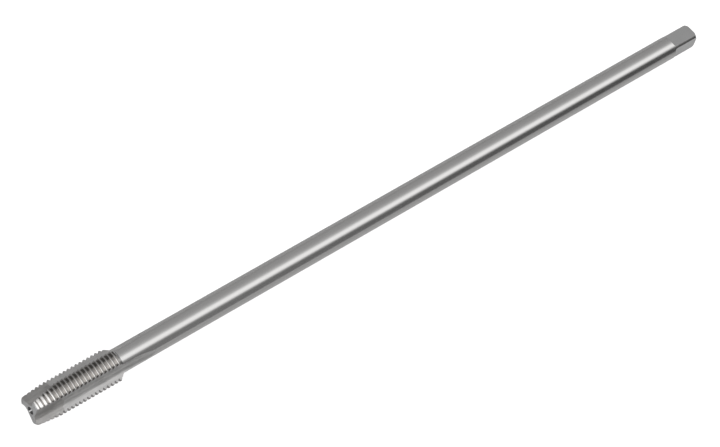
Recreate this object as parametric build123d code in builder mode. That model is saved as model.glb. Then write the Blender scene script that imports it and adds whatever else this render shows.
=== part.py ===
# Long-shank machine tap, M10 x 1.25, right hand, with three straight flutes and a spiral point.
# It is modelled upright, as it stands in the lathe: axis along Z, front face at Z = 0, shank above.
# Then it is laid down along X, cutting end at -X, on the edges of two lands, with the third land on top.
# Units are millimetres. The origin is on the surface that the tap lies on, under the middle of its length.

import os
from math import asin, atan2, ceil, cos, degrees, hypot, radians, sin, sqrt, tan

from build123d import *

# Lengths along the tap
overall_length = 240.0
thread_length = 27.0            # front face to the foot of the rear chamfer
lead_length = 6.3               # tapered lead, five threads
flute_length = 30.0             # full-depth flutes, before their run-out
square_length = 8.5             # flats, to the end of the shank

# Thread
thread_diameter = 10.0
pitch = 1.25
thread_angle = 60.0
thread_shift = 0.2              # moves the whole thread along the tap
lead_front_diameter = 8.6       # enters a drilled hole of 8.75
front_chamfer = 0.25            # breaks the sharp front edge

# Shank and drive
shank_diameter = 7.0
square_across_flats = 5.5
square_corner_radius = 0.9      # round corner that the cutter leaves at the inner end of a flat
square_turn = -11.5             # turn of the flats about the axis
end_chamfer = 0.5               # slightly domed, on the square's corners
end_dome_radius = 1.0

# Flutes
flute_count = 3
land_angle = 51.0               # width of a land at its crests
core_diameter = 5.4
flute_bottom_radius = 2.0
flute_skew = 4.0                # turn of the flute's bottom towards the cutting face, which steepens it
flute_wheel_radius = 35.0       # rim of the grinding wheel, which shapes the run-out

# Spiral point: each cutting face is ground again at a slant, so that it pushes the chips ahead
point_length = 7.75
point_side_angle = 9.0          # slant around the tap
point_depth_angle = 8.4         # slant towards the axis
point_bottom_radius = 1.5

# Centre holes
front_centre_diameter = 2.3
rear_centre_diameter = 2.12
pilot_diameter = 1.0
pilot_depth = 2.3
centre_angle = 60.0

# How far a cutter reaches past the faces that it cuts
clearance = 1.0

# Metric thread form: a crest is an eighth of the pitch wide, a groove 17/24 of the sharp V deep
crest_width = pitch / 8
sharp_depth = pitch / 2 / tan(radians(thread_angle / 2))
thread_depth = sharp_depth * 17 / 24
root_width = pitch - crest_width - 2 * thread_depth * tan(radians(thread_angle / 2))

# Worked out from the sizes above
thread_radius = thread_diameter / 2
root_radius = thread_radius - thread_depth
lead_front_radius = lead_front_diameter / 2
shank_radius = shank_diameter / 2
core_radius = core_diameter / 2
rear_chamfer = thread_radius - shank_radius
land_step = 360 / flute_count
flute_half_angle = (land_step - land_angle) / 2
axis_height = thread_radius * cos(radians(flute_half_angle))    # the edges of two lands touch down


# ---- Turned blank: front chamfer, tapered lead, thread crests, rear chamfer, shank and end chamfer ----
with BuildPart() as blank:
    with BuildSketch(Plane.XZ):
        with BuildLine():
            Polyline(
                (0, overall_length),
                (0, 0),
                (lead_front_radius - front_chamfer, 0),
                (lead_front_radius, front_chamfer),
                (thread_radius, lead_length),
                (thread_radius, thread_length - rear_chamfer),
                (shank_radius, thread_length),
                (shank_radius, overall_length - end_chamfer),
            )
            RadiusArc(
                (shank_radius, overall_length - end_chamfer),
                (shank_radius - end_chamfer, overall_length),
                -end_dome_radius,
            )
            Line((shank_radius - end_chamfer, overall_length), (0, overall_length))
        make_face()
    revolve(axis=Axis.Z)


# ---- Flute section: a wide V, open towards +X, with the cutting face on its +Y side ----
land_edge_x = thread_radius * cos(radians(flute_half_angle))
land_edge_y = thread_radius * sin(radians(flute_half_angle))
bottom_centre_x = (core_radius + flute_bottom_radius) * cos(radians(flute_skew))
bottom_centre_y = (core_radius + flute_bottom_radius) * sin(radians(flute_skew))


def wall_slope(edge_y):
    """Rise of the wall that runs from the round bottom, tangent to it, to the land's edge."""
    reach_x = land_edge_x - bottom_centre_x
    reach_y = abs(edge_y - bottom_centre_y)
    return tan(asin(flute_bottom_radius / hypot(reach_x, reach_y)) + atan2(reach_x, reach_y))


cutting_slope = wall_slope(land_edge_y)
heel_slope = wall_slope(-land_edge_y)
valley_y = land_edge_y * (cutting_slope - heel_slope) / (cutting_slope + heel_slope)
valley_x = land_edge_x - (land_edge_y - valley_y) * cutting_slope
mouth_x = thread_radius + clearance
mouth_cutting_y = valley_y + (mouth_x - valley_x) / cutting_slope
mouth_heel_y = valley_y - (mouth_x - valley_x) / heel_slope


def flute_section(height, bottom_radius):
    """The V with its bottom rounded, on the plane across the tap at this height."""
    with BuildSketch(Plane.XY.offset(height)) as section:
        with BuildLine():
            Polyline((valley_x, valley_y), (mouth_x, mouth_cutting_y), (mouth_x, mouth_heel_y), close=True)
        make_face()
        fillet(section.vertices().sort_by(Axis.X)[0], bottom_radius)
    return section.sketch


# ---- Flute cutter: straight, then swung up out of the shank on the wheel's rim ----
shank_depth = shank_radius - core_radius
run_out_length = sqrt(flute_wheel_radius ** 2 - (flute_wheel_radius - shank_depth) ** 2)
run_out_swing = 2 * degrees(asin(run_out_length / flute_wheel_radius))
wheel_axis = Axis((core_radius + flute_wheel_radius, 0, flute_length), (0, 1, 0))

with BuildPart() as flute_cutter:
    full_section = flute_section(flute_length, flute_bottom_radius)
    extrude(full_section, amount=-(flute_length + clearance))
    revolve(full_section, axis=wheel_axis, revolution_arc=run_out_swing)


# ---- Spiral point cutter: the same V, drawn forwards on a slant from the end of the point ----
slant = Vector(-tan(radians(point_depth_angle)), tan(radians(point_side_angle)), -1)
with BuildPart() as point_cutter:
    point_section = flute_section(point_length, point_bottom_radius)
    extrude(point_section, amount=(point_length + clearance) * slant.length, dir=slant)
    extrude(point_section, amount=clearance * slant.length, dir=-slant)


# ---- Thread groove cutter: one land's share of a turn ----
groove_angle = land_angle + flute_half_angle
groove_mouth_width = root_width + 2 * (thread_depth + clearance) * tan(radians(thread_angle / 2))
with BuildPart() as groove_cutter:
    with BuildLine() as groove_path:
        Helix(pitch=pitch, height=pitch * groove_angle / 360, radius=root_radius)
    groove_line = groove_path.edges()[0]
    with BuildSketch(Plane(origin=groove_line @ 0, x_dir=(1, 0, 0), z_dir=groove_line % 0)):
        with BuildLine():
            Polyline(
                (0, -root_width / 2),
                (thread_depth + clearance, -groove_mouth_width / 2),
                (thread_depth + clearance, groove_mouth_width / 2),
                (0, root_width / 2),
                close=True,
            )
        make_face()
    sweep(path=groove_line, is_frenet=True)

groove_turns = ceil(thread_length / pitch) + 1
groove_places = []
for land in range(flute_count):
    start_angle = land_step * (land + 0.5) - groove_angle / 2
    for turn in range(groove_turns):
        groove_height = thread_shift + pitch * (start_angle / 360 + turn - 1)
        groove_places.append(Location((0, 0, groove_height), (0, 0, start_angle)))


# ---- Square drive cutter: one flat, with a round corner at its inner end ----
with BuildPart() as flat_cutter:
    with BuildSketch(Plane.XZ):
        with Locations((square_across_flats / 2, overall_length + clearance)):
            Rectangle(
                thread_radius,
                square_length + square_corner_radius + clearance,
                align=(Align.MIN, Align.MAX),
            )
        fillet(vertices().group_by(Axis.Z)[0].sort_by(Axis.X)[0], square_corner_radius)
    extrude(amount=thread_radius, both=True)


# ---- The tap, upright ----
with BuildPart() as upright_tap:
    add(blank.part)
    with PolarLocations(0, flute_count):
        add(flute_cutter.part, mode=Mode.SUBTRACT)
        add(point_cutter.part, mode=Mode.SUBTRACT)
    with Locations(*groove_places):
        add(groove_cutter.part, mode=Mode.SUBTRACT)
    with PolarLocations(0, 4, start_angle=square_turn):
        add(flat_cutter.part, mode=Mode.SUBTRACT)
    with Locations(Plane(origin=(0, 0, 0), z_dir=(0, 0, -1))):
        CounterSinkHole(pilot_diameter / 2, front_centre_diameter / 2, pilot_depth, centre_angle)
    with Locations(Plane(origin=(0, 0, overall_length), z_dir=(0, 0, 1))):
        CounterSinkHole(pilot_diameter / 2, rear_centre_diameter / 2, pilot_depth, centre_angle)


# ---- Laid down on two lands ----
with BuildPart() as tap:
    with Locations(Location((-overall_length / 2, 0, axis_height), (0, 90, 0))):
        add(upright_tap.part)
tap.part.label = "tap"

os.makedirs("parts", exist_ok=True)
export_step(tap.part, "parts/tap.step")
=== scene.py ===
import math

import bmesh
import bpy
from mathutils import Matrix, Vector


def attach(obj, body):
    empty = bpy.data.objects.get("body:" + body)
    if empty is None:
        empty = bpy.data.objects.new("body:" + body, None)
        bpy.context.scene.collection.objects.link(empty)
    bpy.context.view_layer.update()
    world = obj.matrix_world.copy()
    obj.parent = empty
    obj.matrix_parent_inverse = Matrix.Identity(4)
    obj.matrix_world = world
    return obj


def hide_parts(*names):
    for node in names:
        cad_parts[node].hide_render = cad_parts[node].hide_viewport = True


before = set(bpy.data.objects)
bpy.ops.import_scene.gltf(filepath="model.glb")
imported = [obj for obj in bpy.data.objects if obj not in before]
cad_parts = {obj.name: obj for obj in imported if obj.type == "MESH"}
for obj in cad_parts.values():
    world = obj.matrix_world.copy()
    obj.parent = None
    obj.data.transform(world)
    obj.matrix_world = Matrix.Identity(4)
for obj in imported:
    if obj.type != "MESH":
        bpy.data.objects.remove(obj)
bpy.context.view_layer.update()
print("frame loaded")


# The tap is cut upright in millimetres, front face at z = 0, and laid down in the frame's metres afterwards.
millimetre = 0.001
tapShape = {
    "length": 240.0,
    "threadLength": 27.0,
    "leadLength": 6.3,
    "leadFront": 8.6,           # diameter of the lead at the front edge
    "frontChamfer": 0.25,
    "threadShift": 0.2,         # moves the whole thread along the tap
    "threadDiameter": 10.0,
    "threadAngle": 60.0,
    "pitch": 1.25,
    "crestShare": 1 / 8,        # of the pitch
    "grooveShare": 17 / 24,     # of the depth of a sharp V
    "shankDiameter": 7.0,
    "squareAcross": 5.5,
    "flats": 4,
    "squareLength": 8.5,
    "squareCorner": 0.9,        # round corner at the inner end of a flat
    "squareTurn": -11.5,
    "endChamfer": 0.5,
    "endDome": 1.0,             # radius of the end chamfer, which is slightly round
    "fluteCount": 3,
    "fluteLength": 30.0,        # at full depth, before the run-out
    "landAngle": 51.0,          # width of a land at its crests
    "coreDiameter": 5.4,
    "fluteBottom": 2.0,
    "fluteSkew": 4.0,           # turns the bottom of a flute towards its cutting face
    "fluteWheel": 35.0,         # rim of the grinding wheel, which shapes the run-out
    "pointLength": 7.75,
    "pointSide": 9.0,           # slant of the spiral point round the tap
    "pointDepth": 8.4,          # and towards its axis
    "pointBottom": 1.5,
    "frontCentre": 2.3,
    "rearCentre": 2.12,
    "pilotDiameter": 1.0,
    "pilotDepth": 2.3,
    "centreAngle": 60.0,
    "clearance": 1.0,           # how far a cutter reaches past what it cuts
    "ringSteps": 144,           # facets round the blank, and steps in a turn of the thread
    "wheelSteps": 40,
    "bottomSteps": 14,
    "domeSteps": 5,
    "sharpAngle": 24.0,         # edges sharper than this stay crisp
}
weld = {"coarse": 1e-3, "usual": 1e-4, "fine": 1e-5}    # corners this near each other are joined
sorting = {
    "endFacing": 0.95,          # share of an end face's normal that lies along the tap
    "margin": 0.01,             # tells a face's radius from the radius of an edge
    "rootShare": 0.1,           # lowest part of a groove that counts as its root
}
finishOrder = ("turned", "shank", "crest", "flank", "root",
               "flute", "point", "square", "countersink", "pilot")


def tangent(degrees):
    return math.tan(math.radians(degrees))


threadRadius = tapShape["threadDiameter"] / 2
shankRadius = tapShape["shankDiameter"] / 2
coreRadius = tapShape["coreDiameter"] / 2
length = tapShape["length"]
pitch = tapShape["pitch"]
threadSlope = tangent(tapShape["threadAngle"] / 2)
threadDepth = pitch / 2 / threadSlope * tapShape["grooveShare"]
rootRadius = threadRadius - threadDepth
rootWidth = pitch * (1 - tapShape["crestShare"]) - 2 * threadDepth * threadSlope
halfFlute = math.radians(180 / tapShape["fluteCount"] - tapShape["landAngle"] / 2)
axisHeight = threadRadius * math.cos(halfFlute)


def startChain(bm, points):
    corners = [bm.verts.new(point) for point in points]
    for start, end in zip(corners, corners[1:]):
        bm.edges.new((start, end))
    return corners[-1]


def turnRound(bm):
    bmesh.ops.spin(bm, geom=bm.verts[:] + bm.edges[:], cent=(0, 0, 0), axis=(0, 0, 1), dvec=(0, 0, 0),
                   angle=math.tau, steps=tapShape["ringSteps"], use_merge=True)
    bmesh.ops.remove_doubles(bm, verts=bm.verts, dist=weld["usual"])


def solidPiece(bm, name, finish):
    bmesh.ops.remove_doubles(bm, verts=bm.verts, dist=weld["fine"])
    bmesh.ops.recalc_face_normals(bm, faces=bm.faces)
    for face in bm.faces:
        face.material_index = finishOrder.index(finish(face) if callable(finish) else finish)
    mesh = bpy.data.meshes.new(name)
    bm.to_mesh(mesh)
    bm.free()
    piece = bpy.data.objects.new(name, mesh)
    bpy.context.scene.collection.objects.link(piece)
    return piece


def blankFinish(face):
    height, radius = face.calc_center_median().z, face.calc_center_median().xy.length
    endFace = abs(face.normal.z) > sorting["endFacing"]
    brokenEdge = height > length - tapShape["endChamfer"] or height < tapShape["frontChamfer"]
    pastLead = tapShape["leadLength"] < height < tapShape["threadLength"]
    rearChamfer = pastLead and radius < threadRadius - sorting["margin"]
    if endFace or brokenEdge or rearChamfer:
        return "turned"
    return "crest" if height < tapShape["threadLength"] else "shank"


def makeBlank():
    bm = bmesh.new()
    chamfer, dome = tapShape["endChamfer"], tapShape["endDome"]
    front, edge = tapShape["leadFront"] / 2, tapShape["frontChamfer"]
    shankEnd = startChain(bm, [
        (0, 0, 0), (front - edge, 0, 0), (front, 0, edge), (threadRadius, 0, tapShape["leadLength"]),
        (threadRadius, 0, tapShape["threadLength"] - threadRadius + shankRadius),
        (shankRadius, 0, tapShape["threadLength"]), (shankRadius, 0, length - chamfer)])
    chord = chamfer * math.sqrt(2)
    sag = math.sqrt(dome ** 2 - chord ** 2 / 4)                     # dome centre to the middle of the chamfer
    middle = Vector((shankRadius - chamfer / 2, 0, length - chamfer / 2))
    centre = middle - Vector((1, 0, 1)).normalized() * sag
    domeArc = bmesh.ops.spin(bm, geom=[shankEnd], cent=centre, axis=(0, -1, 0), dvec=(0, 0, 0),
                             angle=2 * math.asin(chord / 2 / dome), steps=tapShape["domeSteps"])
    bm.edges.new((domeArc["geom_last"][0], bm.verts.new((0, 0, length))))
    turnRound(bm)
    return solidPiece(bm, "blank", blankFinish)


def wallSlope(edgeY, bottomX, bottomY):
    reachX = threadRadius * math.cos(halfFlute) - bottomX
    reachY = abs(edgeY - bottomY)
    lean = math.asin(tapShape["fluteBottom"] / math.hypot(reachX, reachY))
    return math.tan(lean + math.atan2(reachX, reachY))


def fluteSection(bm, bottomRadius, height):
    edgeX, edgeY = threadRadius * math.cos(halfFlute), threadRadius * math.sin(halfFlute)
    reach, skew = coreRadius + tapShape["fluteBottom"], math.radians(tapShape["fluteSkew"])
    cutting = wallSlope(edgeY, reach * math.cos(skew), reach * math.sin(skew))
    heel = wallSlope(-edgeY, reach * math.cos(skew), reach * math.sin(skew))
    valleyY = edgeY * (cutting - heel) / (cutting + heel)
    valleyX = edgeX - (edgeY - valleyY) * cutting
    mouthX = threadRadius + tapShape["clearance"]
    corners = [bm.verts.new(point) for point in (
        (valleyX, valleyY, height),
        (mouthX, valleyY + (mouthX - valleyX) / cutting, height),
        (mouthX, valleyY - (mouthX - valleyX) / heel, height))]
    bm.faces.new(corners)
    halfOpening = (math.pi - math.atan(cutting) - math.atan(heel)) / 2
    bmesh.ops.bevel(bm, geom=[corners[0]], offset=bottomRadius / math.tan(halfOpening),
                    offset_type="OFFSET", segments=tapShape["bottomSteps"], profile=0.5,
                    affect="VERTICES", material=-1)
    return bm.faces[:]


def moveCorners(bm, parts, way):
    bmesh.ops.translate(bm, verts=[part for part in parts if isinstance(part, bmesh.types.BMVert)], vec=way)


def pullFaces(bm, faces, way):
    pulled = bmesh.ops.extrude_face_region(bm, geom=faces)["geom"]
    moveCorners(bm, pulled, way)


def turnPiece(bm, degrees):
    turn = Matrix.Rotation(math.radians(degrees), 3, "Z")
    bmesh.ops.rotate(bm, verts=bm.verts, cent=(0, 0, 0), matrix=turn)


def makeFluteCutter(degrees):
    bm = bmesh.new()
    section = fluteSection(bm, tapShape["fluteBottom"], tapShape["fluteLength"])
    wheel = tapShape["fluteWheel"]
    swing = 2 * math.acos(1 - (shankRadius - coreRadius) / wheel)
    bmesh.ops.spin(bm, geom=section, cent=(coreRadius + wheel, 0, tapShape["fluteLength"]), axis=(0, 1, 0),
                   dvec=(0, 0, 0), angle=swing, steps=tapShape["wheelSteps"])
    pullFaces(bm, section, (0, 0, -tapShape["fluteLength"] - tapShape["clearance"]))
    bmesh.ops.delete(bm, geom=section, context="FACES_ONLY")        # it would be left inside the cutter
    turnPiece(bm, degrees)
    return solidPiece(bm, "fluteCutter", "flute")


def makePointCutter(degrees):
    bm = bmesh.new()
    slant = Vector((-tangent(tapShape["pointDepth"]), tangent(tapShape["pointSide"]), -1))
    section = fluteSection(bm, tapShape["pointBottom"], tapShape["pointLength"])
    bmesh.ops.translate(bm, verts=bm.verts, vec=slant * -tapShape["clearance"])
    pullFaces(bm, section, slant * (tapShape["pointLength"] + 2 * tapShape["clearance"]))
    turnPiece(bm, degrees)
    return solidPiece(bm, "pointCutter", "point")


def grooveFinish(face):
    rootTop = rootRadius + threadDepth * sorting["rootShare"]
    return "root" if face.calc_center_median().xy.length < rootTop else "flank"


def makeGrooveCutter():
    bm = bmesh.new()
    outer = threadRadius + tapShape["clearance"]
    crestGap = rootWidth / 2 + threadDepth * threadSlope
    start = tapShape["threadShift"] - pitch
    section = bm.faces.new([bm.verts.new((radius, 0, rise + start)) for radius, rise in (
        (rootRadius, -rootWidth / 2), (threadRadius, -crestGap), (outer, -crestGap),
        (outer, crestGap), (threadRadius, crestGap), (rootRadius, rootWidth / 2))])
    rim = section.edges[:]
    bmesh.ops.delete(bm, geom=[section], context="FACES_ONLY")
    bmesh.ops.spin(bm, geom=rim, cent=(0, 0, 0), axis=(0, 0, 1),
                   dvec=(0, 0, pitch / tapShape["ringSteps"]), angle=math.tau, steps=tapShape["ringSteps"])
    oneTurn = bm.faces[:]
    turns = math.ceil(tapShape["threadLength"] / pitch) + 2         # with one more at either end
    for turn in range(1, turns):
        moveCorners(bm, bmesh.ops.duplicate(bm, geom=oneTurn)["geom"], (0, 0, pitch * turn))
    bmesh.ops.remove_doubles(bm, verts=bm.verts, dist=weld["coarse"])
    bmesh.ops.holes_fill(bm, edges=[edge for edge in bm.edges if edge.is_boundary], sides=0)
    return solidPiece(bm, "grooveCutter", grooveFinish)


def makeFlatCutter(degrees):
    bm = bmesh.new()
    inner, outer = tapShape["squareAcross"] / 2, threadRadius + tapShape["clearance"]
    low = length - tapShape["squareLength"] - tapShape["squareCorner"]
    high = length + tapShape["clearance"]
    corners = [bm.verts.new((across, -threadRadius, height)) for across, height in (
        (inner, low), (outer, low), (outer, high), (inner, high))]
    bm.faces.new(corners)
    bmesh.ops.bevel(bm, geom=[corners[0]], offset=tapShape["squareCorner"], offset_type="OFFSET",
                    segments=tapShape["bottomSteps"], profile=0.5, affect="VERTICES", material=-1)
    pullFaces(bm, bm.faces[:], (0, 2 * threadRadius, 0))
    turnPiece(bm, degrees)
    return solidPiece(bm, "flatCutter", "square")


def centreFinish(face):
    pilotEdge = tapShape["pilotDiameter"] / 2 + sorting["margin"]
    return "pilot" if face.calc_center_median().xy.length < pilotEdge else "countersink"


def makeCentreCutter(mouthDiameter, atRear):
    bm = bmesh.new()
    mouth, pilot, out = mouthDiameter / 2, tapShape["pilotDiameter"] / 2, tapShape["clearance"]
    slope = tangent(tapShape["centreAngle"] / 2)
    startChain(bm, [(0, 0, -out), (mouth + out * slope, 0, -out), (pilot, 0, (mouth - pilot) / slope),
                    (pilot, 0, tapShape["pilotDepth"]), (0, 0, tapShape["pilotDepth"])])
    turnRound(bm)
    if atRear:
        bmesh.ops.scale(bm, verts=bm.verts, vec=(1, 1, -1))
        bmesh.ops.translate(bm, verts=bm.verts, vec=(0, 0, length))
    return solidPiece(bm, "centreCutter", centreFinish)


def cutAway(blank, cutters):
    for cutter in cutters:
        cut = blank.modifiers.new(cutter.name, "BOOLEAN")
        cut.operation, cut.solver, cut.object = "DIFFERENCE", "MANIFOLD", cutter
    evaluated = blank.evaluated_get(bpy.context.evaluated_depsgraph_get())
    cutMesh = bpy.data.meshes.new_from_object(evaluated)
    for piece in [blank, *cutters]:
        bpy.data.meshes.remove(piece.data)                          # its object goes with it
    return cutMesh


def makeTap():
    flutes, flats = tapShape["fluteCount"], tapShape["flats"]
    cutters = [makeFluteCutter(360 / flutes * k) for k in range(flutes)]
    cutters += [makePointCutter(360 / flutes * k) for k in range(flutes)]
    cutters += [makeGrooveCutter()]
    cutters += [makeFlatCutter(tapShape["squareTurn"] + 360 / flats * k) for k in range(flats)]
    cutters += [makeCentreCutter(tapShape["frontCentre"], atRear=False),
                makeCentreCutter(tapShape["rearCentre"], atRear=True)]
    cutMesh = cutAway(makeBlank(), cutters)
    bm = bmesh.new()
    bm.from_mesh(cutMesh)
    bpy.data.meshes.remove(cutMesh)
    bmesh.ops.remove_doubles(bm, verts=bm.verts, dist=weld["usual"])
    bmesh.ops.dissolve_degenerate(bm, edges=bm.edges, dist=weld["fine"])
    layDown = Matrix.Translation((-length / 2, 0, axisHeight)) @ Matrix.Rotation(math.pi / 2, 4, "Y")
    bm.transform(Matrix.Scale(millimetre, 4) @ layDown)
    for face in bm.faces:
        face.smooth = True
    mesh = bpy.data.meshes.new("tapBody")
    bm.to_mesh(mesh)
    bm.free()
    mesh.set_sharp_from_angle(angle=math.radians(tapShape["sharpAngle"]))
    tap = bpy.data.objects.new("tapBody", mesh)
    bpy.context.scene.collection.objects.link(tap)
    return tap


tapBody = makeTap()
print("tap cut")


class Wire:                                     # a shader socket that takes part in Python expressions
    def __init__(self, tree, socket=None):
        self.tree, self.socket = tree, socket

    def node(self, kind, settings=(), inputs=(), output=0):
        made = self.tree.nodes.new(kind)
        for name, value in dict(settings).items():
            if name == "stops":
                ramp = made.color_ramp
                while len(ramp.elements) < len(value):
                    ramp.elements.new(1.0)
                for element, (place, colour) in zip(ramp.elements, value):
                    element.position, element.color = place, colour
            else:
                setattr(made, name, value)
        for name, value in dict(inputs).items():
            if isinstance(value, Wire):
                self.tree.links.new(value.socket, made.inputs[name])
            else:
                made.inputs[name].default_value = value
        return Wire(self.tree, made.outputs[output])

    def math(self, operation, *values):
        return self.node("ShaderNodeMath", {"operation": operation}, dict(enumerate(values)))

    def __add__(self, other):
        return self.math("ADD", self, other)

    def __sub__(self, other):
        return self.math("SUBTRACT", self, other)

    def __rsub__(self, other):
        return self.math("SUBTRACT", other, self)

    def __mul__(self, other):
        return self.math("MULTIPLY", self, other)

    def __truediv__(self, other):
        return self.math("DIVIDE", self, other)

    __radd__, __rmul__ = __add__, __mul__


def grey(value, warmth=0.0):
    return (value * (1 + warmth), value, value * (1 - warmth), 1.0)


def blendColours(wire, share, start, end):
    return wire.node("ShaderNodeMix", {"data_type": "RGBA"}, {0: share, 6: start, 7: end}, output=2)


def partOf(wire, place, axis):
    return wire.node("ShaderNodeSeparateXYZ", {}, {0: place}, output=axis)


def paintedLandShade(wire, place):    # painted shade: 0 behind the cutting edge and at the heel of each land, where the land is painted darker, 1 between them
    turn = wire.math("ARCTAN2", partOf(wire, place, "Y"), partOf(wire, place, "Z") - axisHeight * millimetre)
    behind = wire.math("FLOORED_MODULO", math.radians(tapShape["landAngle"] / 2) - turn,
                       math.tau / tapShape["fluteCount"])
    reliefAndUnshaded = 1.0
    for edge in ("leadShadeEnd", "heelShadeStart"):
        start, end = (math.radians(angle) for angle in steelLook[edge])
        step = wire.node("ShaderNodeMapRange", {}, {"Value": behind, "From Min": start, "From Max": end})
        reliefAndUnshaded = reliefAndUnshaded * (step if edge == "leadShadeEnd" else 1 - step)
    return reliefAndUnshaded


def steelMaterial(name, tones, warmth, roughness, grain, bump, leadingShade=None):
    material = bpy.data.materials.new(name)
    material.use_nodes = True
    tree = material.node_tree
    shader = tree.nodes["Principled BSDF"]
    wire = Wire(tree)
    shader.inputs["Metallic"].default_value = 1.0
    along, across = grain
    place = wire.node("ShaderNodeTexCoord", output="Object")
    lines = wire.node("ShaderNodeMapping", {}, {"Vector": place, "Scale": (along, across, across)})
    streaks = wire.node("ShaderNodeTexNoise", {}, {
        "Vector": lines, "Scale": 1.0, "Detail": steelLook["detail"], "Roughness": steelLook["streakBreak"]})
    clouds = wire.node("ShaderNodeTexNoise", {}, {
        "Vector": place, "Scale": 1 / steelLook["cloudSize"], "Detail": steelLook["detail"]})
    paleShare = streaks * steelLook["streakShare"] + clouds * (1 - steelLook["streakShare"])
    base = blendColours(wire, paleShare, grey(tones[1], warmth), grey(tones[0], warmth))
    # a darker tone of painted shade behind each cutting edge and at the heel of each land
    if leadingShade:
        base = blendColours(wire, paintedLandShade(wire, place), grey(leadingShade, warmth), base)
    tree.links.new(base.socket, shader.inputs["Base Color"])
    spread = steelLook["roughnessSpread"]
    rough = clouds * spread + streaks * spread + (roughness - spread)
    tree.links.new(rough.socket, shader.inputs["Roughness"])
    reliefAndUnshaded = wire.node("ShaderNodeBump", {}, {"Height": streaks, "Distance": bump, "Strength": 1.0})
    tree.links.new(reliefAndUnshaded.socket, shader.inputs["Normal"])
    return material


steelLook = {
    "detail": 3.0,
    "streakBreak": 0.6,
    "streakShare": 0.5,             # of the change of tone, the rest is clouds
    "cloudSize": 0.004,
    "roughnessSpread": 0.06,
    "leadShadeEnd": (18.2, 20.0),    # degrees behind the cutting edge where the painted shade of a land fades out
    # degrees where the painted shade at the heel of a land sets in
    "heelShadeStart": (46.0, 49.0),
}
# Tones are the palest and the darkest, grain is in waves per metre along the tap and across it.
finishes = {
    "turned": {"name": "turnedSteel", "tones": (0.57, 0.45), "warmth": 0.0, "roughness": 0.28,
               "grain": (9000, 2500), "bump": 6e-6},
    "shank": {"name": "groundShank", "tones": (0.60, 0.53), "warmth": 0.01, "roughness": 0.20,
              "grain": (14000, 350), "bump": 5e-6},
    # leadingShade is the darker tone of painted shade behind each cutting edge and at each land's heel
    "crest": {"name": "groundCrest", "tones": (0.76, 0.66), "warmth": 0.02, "roughness": 0.20,
              "grain": (16000, 900), "bump": 4e-6, "leadingShade": 0.52},
    "flank": {"name": "threadFlank", "tones": (0.63, 0.53), "warmth": 0.03, "roughness": 0.20,
              "grain": (16000, 900), "bump": 4e-6, "leadingShade": 0.29},
    # the roots' darker tone is painted shade in the bottoms of the thread's grooves
    "root": {"name": "threadRoot", "tones": (0.36, 0.26), "warmth": 0.03, "roughness": 0.40,
             "grain": (16000, 900), "bump": 4e-6},
    "flute": {"name": "groundFlute", "tones": (0.88, 0.28), "warmth": 0.01, "roughness": 0.47,
              "grain": (250, 1700), "bump": 2e-5},
    "point": {"name": "groundPoint", "tones": (0.76, 0.14), "warmth": 0.02, "roughness": 0.50,
              "grain": (400, 1700), "bump": 2e-5},
    "square": {"name": "milledFlat", "tones": (0.59, 0.48), "warmth": 0.0, "roughness": 0.30,
               "grain": (900, 9000), "bump": 8e-6},
    # the dark tones of the countersink and the pilot hole are painted shade in the centre holes
    "countersink": {"name": "countersink", "tones": (0.16, 0.10), "warmth": 0.0, "roughness": 0.25,
                    "grain": (9000, 900), "bump": 2e-6},
    "pilot": {"name": "pilotHole", "tones": (0.08, 0.05), "warmth": 0.0, "roughness": 0.50,
              "grain": (9000, 900), "bump": 2e-6},
}
for finish in finishOrder:
    tapBody.data.materials.append(steelMaterial(**finishes[finish]))
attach(tapBody, "root")
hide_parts("tap")
print("steel finished")

cameraPlace = {
    "lens": 126.5,
    "sensor": 36.0,
    "clip": (0.01, 20.0),
    "lookAt": Vector((-0.0100, 0.0, axisHeight * millimetre)),
    "distance": 0.695,
    "tilt": 29.14,                  # degrees that it leans along the tap, from the cutting end
    "roll": 13.6,                   # degrees that it stands round the tap from straight above
    "across": (0.86887, 0.49504),   # direction of the tap in the view, to the right and up
    "drop": 0.000128,               # metres that it moves down in the view
}


def makeCamera():
    tilt, roll = math.radians(cameraPlace["tilt"]), math.radians(cameraPlace["roll"])
    outward = Vector((0, -math.sin(roll), math.cos(roll)))
    down = Vector((0, -math.cos(roll), -math.sin(roll)))
    back = outward * math.cos(tilt) - Vector((1, 0, 0)) * math.sin(tilt)
    along = Vector((1, 0, 0)) * math.cos(tilt) + outward * math.sin(tilt)
    cosine, sine = cameraPlace["across"]
    right, up = along * cosine + down * sine, along * sine - down * cosine
    data = bpy.data.cameras.new("camera")
    data.lens, data.sensor_width, data.sensor_fit = cameraPlace["lens"], cameraPlace["sensor"], "HORIZONTAL"
    data.clip_start, data.clip_end = cameraPlace["clip"]
    camera = bpy.data.objects.new("camera", data)
    bpy.context.scene.collection.objects.link(camera)
    place = cameraPlace["lookAt"] + back * cameraPlace["distance"] + down * cameraPlace["drop"]
    turn = Matrix((right, up, back)).transposed().to_4x4()
    camera.matrix_world = Matrix.Translation(place) @ turn
    bpy.context.scene.camera = camera


floorLook = {
    "halfSize": 6.0,
    "colour": 0.56,
    "roughness": 0.9,
    "glow": 0.82,               # as the camera sees it, which makes it white
    "mirroredGlow": 0.16,       # as the steel shows it, close in front of the tap
    "glowReach": 0.03,
    "glowEdge": 0.004,          # no mirrored glow lies further back than this
}


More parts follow.
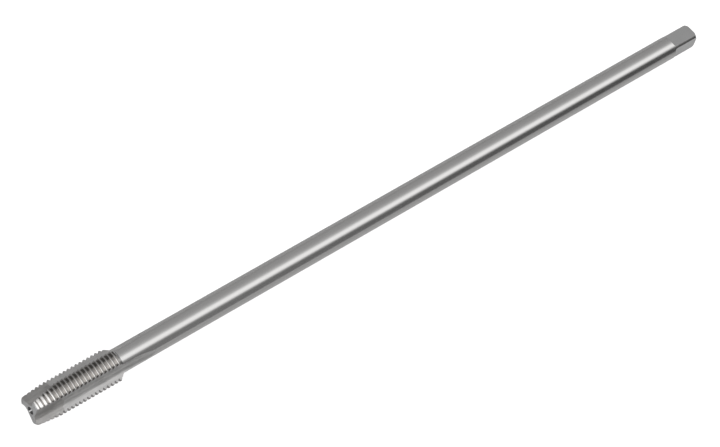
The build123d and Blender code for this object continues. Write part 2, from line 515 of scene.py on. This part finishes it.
def makeFloor():
    bm = bmesh.new()
    bmesh.ops.create_grid(bm, x_segments=1, y_segments=1, size=floorLook["halfSize"])
    mesh = bpy.data.meshes.new("floor")
    bm.to_mesh(mesh)
    bm.free()
    floor = bpy.data.objects.new("floor", mesh)
    bpy.context.scene.collection.objects.link(floor)
    material = bpy.data.materials.new("paleFloor")
    material.use_nodes = True
    tree = material.node_tree
    shader = tree.nodes["Principled BSDF"]
    shader.inputs["Base Color"].default_value = grey(floorLook["colour"])
    shader.inputs["Roughness"].default_value = floorLook["roughness"]
    shader.inputs["Specular IOR Level"].default_value = 0.0
    wire = Wire(tree)
    seen = wire.node("ShaderNodeLightPath", output="Is Camera Ray")
    mirrored = wire.math("MAXIMUM", wire.node("ShaderNodeLightPath", output="Is Glossy Ray"),
                         wire.node("ShaderNodeLightPath", output="Is Transmission Ray"))
    side = partOf(wire, wire.node("ShaderNodeTexCoord", output="Object"), "Y")
    fade = wire.node("ShaderNodeMapRange", {}, {
        "Value": side, "From Min": -floorLook["glowReach"], "From Max": 0.0,
        "To Min": 0.0, "To Max": floorLook["mirroredGlow"]})
    fade = fade * wire.math("LESS_THAN", side, floorLook["glowEdge"])
    glow = seen * floorLook["glow"] + mirrored * fade
    tree.links.new(glow.socket, shader.inputs["Emission Color"])
    shader.inputs["Emission Strength"].default_value = 1.0
    mesh.materials.append(material)


# Angles run round the tap from the camera's side, and grow towards the lower edge of the view.
# Places along are shares of the way towards the square.
studio = {
    "softbox": (                # angle, brightness
        (-180, 0.36), (-110, 0.34), (-75, 0.40), (-54, 0.42), (-42, 0.46), (-32, 0.54), (-23, 0.66),
        (-16, 0.93), (-9, 1.27), (11, 1.30), (19, 1.02), (27, 0.40), (36, 0.27), (66, 0.26), (76, 0.24),
        (120, 0.40), (180, 0.40),
    ),
    "brightest": 2.0,           # at the top of the softbox's ramp
    "softboxEnd": (0.0, 0.12),
    "backboxEnd": (-0.45, -0.30),   # its twin over the cutting end
    "room": 0.40,               # between the two
    "panels": (                 # edges along, edges round, brightness
        ((0.06, 0.11, 0.18, 0.24), (-50, -42, 14, 24), 0.5),        # on the tapered lead
        ((-0.74, -0.68, -0.60, -0.54), (-16, -8, 8, 16), 9.0),      # in the front centre hole
        ((0.40, 0.56, 1.10, 1.20), (25, 32, 60, 80), -0.18),        # darker towards the square
    ),
    "level": 1.1,
}


def makeWorld():
    world = bpy.data.worlds.new("studio")
    world.use_nodes = True
    bpy.context.scene.world = world
    tree = world.node_tree
    background = tree.nodes["Background"]
    roll = math.radians(cameraPlace["roll"])
    wire = Wire(tree)
    ray = wire.node("ShaderNodeTexCoord", output="Generated")

    def part(way):
        return wire.node("ShaderNodeVectorMath", {"operation": "DOT_PRODUCT"}, {0: ray, 1: way},
                         output="Value")

    def ease(value, start, end):
        return wire.node("ShaderNodeMapRange", {"interpolation_type": "SMOOTHSTEP"},
                         {"Value": value, "From Min": start, "From Max": end})

    along = part((1, 0, 0))
    down = part((0, -math.cos(roll), -math.sin(roll)))
    toward = part((0, -math.sin(roll), math.cos(roll)))
    turn = wire.math("ARCTAN2", down, toward) * math.degrees(1)
    top = studio["brightest"]
    stops = [(angle / 360 + 0.5, grey(value / top)) for angle, value in studio["softbox"]]
    softbox = wire.node("ShaderNodeValToRGB", {"stops": stops}, {"Fac": turn / 360 + 0.5}) * top
    reach = ease(along, *studio["softboxEnd"]) + 1 - ease(along, *studio["backboxEnd"])
    light = softbox * reach + (1 - reach) * studio["room"]
    for edgesAlong, edgesRound, brightness in studio["panels"]:
        inside = 1.0
        for value, edges in ((along, edgesAlong), (turn, edgesRound)):
            inside = inside * ease(value, *edges[:2]) * (1 - ease(value, *edges[2:]))
        light = light + inside * brightness
    background.inputs["Color"].default_value = grey(1.0)
    tree.links.new((light * studio["level"]).socket, background.inputs["Strength"])


makeCamera()
makeFloor()
makeWorld()
bpy.context.scene.view_settings.view_transform = "Standard"
print("studio set")
